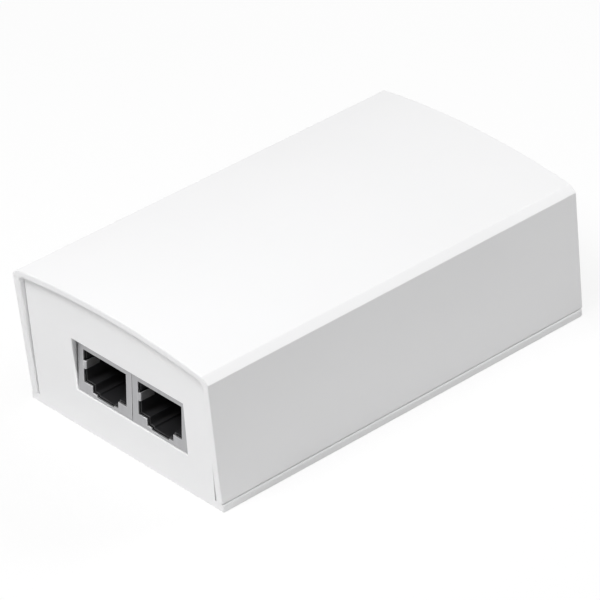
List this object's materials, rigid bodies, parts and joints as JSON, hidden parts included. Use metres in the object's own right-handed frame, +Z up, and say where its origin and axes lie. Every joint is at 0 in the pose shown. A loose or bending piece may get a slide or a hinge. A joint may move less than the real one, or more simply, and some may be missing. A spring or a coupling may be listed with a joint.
{
  "type": "poe injector",
  "caption": "White mains-powered PoE injector brick with leaning ends, a crowned top, shielded network jacks in one end and a mains inlet in the other.",
  "frame": {"origin": "under the middle of the case's box, on the surface that it stands on", "axes": "+Y runs from the jack end to the inlet end, +Z up, +X to the right of someone facing the jacks"},
  "size_m": [0.056, 0.1059, 0.0346],
  "materials": {
    "case_white": "fine satin white moulding",
    "jack_shield": "tin-plated folded sheet",
    "jack_black": "black moulding",
    "contact_gold": "gold-plated spring wire",
    "inlet_black": "black moulding",
    "plated_pin": "nickel-plated blade",
    "screw_steel": "zinc-plated steel",
    "board_green": "solder mask over glass laminate",
    "can_sleeve": "heat-shrunk sleeve over a can",
    "component_black": "moulded epoxy",
    "ferrite_grey": "ground ferrite",
    "winding_tape": "yellow winding tape",
    "winding_copper": "enamelled copper wire",
    "heatsink_metal": "bare extrusion",
    "film_yellow": "potted box",
    "disc_blue": "dipped coating",
    "fuse_brown": "moulded cap"
  },
  "bodies": {
    "chassis": {"top_shell": "case_white", "base_tray": "case_white", "out_jack_shield": "jack_shield", "in_jack_shield": "jack_shield", "out_jack_housing": "jack_black", "in_jack_housing": "jack_black", "out_jack_carrier": "jack_black", "in_jack_carrier": "jack_black", "inlet_body": "inlet_black", "inlet_line_pin": "plated_pin", "inlet_neutral_pin": "plated_pin", "inlet_earth_pin": "plated_pin", "housing_screw_1": "screw_steel", "housing_screw_2": "screw_steel", "housing_screw_3": "screw_steel", "housing_screw_4": "screw_steel", "board_screw_1": "screw_steel", "board_screw_2": "screw_steel", "main_board": "board_green", "bulk_capacitor": "can_sleeve", "output_capacitor_1": "can_sleeve", "output_capacitor_2": "can_sleeve", "lan_magnetics": "component_black", "optocoupler": "component_black", "output_diode": "component_black", "switcher": "component_black", "bridge_rectifier": "component_black", "transformer_core": "ferrite_grey", "filter_choke_core": "ferrite_grey", "output_choke": "ferrite_grey", "transformer_winding": "winding_tape", "filter_choke_line_winding": "winding_copper", "filter_choke_neutral_winding": "winding_copper", "switcher_heatsink": "heatsink_metal", "x_capacitor": "film_yellow", "varistor": "disc_blue", "y_capacitor": "disc_blue", "fuse": "fuse_brown"},
    "out_contacts": {"out_contact_1": "contact_gold", "out_contact_2": "contact_gold", "out_contact_3": "contact_gold", "out_contact_4": "contact_gold", "out_contact_5": "contact_gold", "out_contact_6": "contact_gold", "out_contact_7": "contact_gold", "out_contact_8": "contact_gold"},
    "in_contacts": {"in_contact_1": "contact_gold", "in_contact_2": "contact_gold", "in_contact_3": "contact_gold", "in_contact_4": "contact_gold", "in_contact_5": "contact_gold", "in_contact_6": "contact_gold", "in_contact_7": "contact_gold", "in_contact_8": "contact_gold"}
  },
  "joints": [
    {"name": "out_contact_flex", "type": "hinge", "parent": "chassis", "child": "out_contacts", "pos_m": [-0.0052, -0.04575, 0.01863], "axis": [1, 0, 0], "range_deg": [0, 9], "stiffness_Nm_per_rad": 0.3},
    {"name": "in_contact_flex", "type": "hinge", "parent": "chassis", "child": "in_contacts", "pos_m": [0.0106, -0.04575, 0.01863], "axis": [1, 0, 0], "range_deg": [0, 9], "stiffness_Nm_per_rad": 0.3}
  ]
}
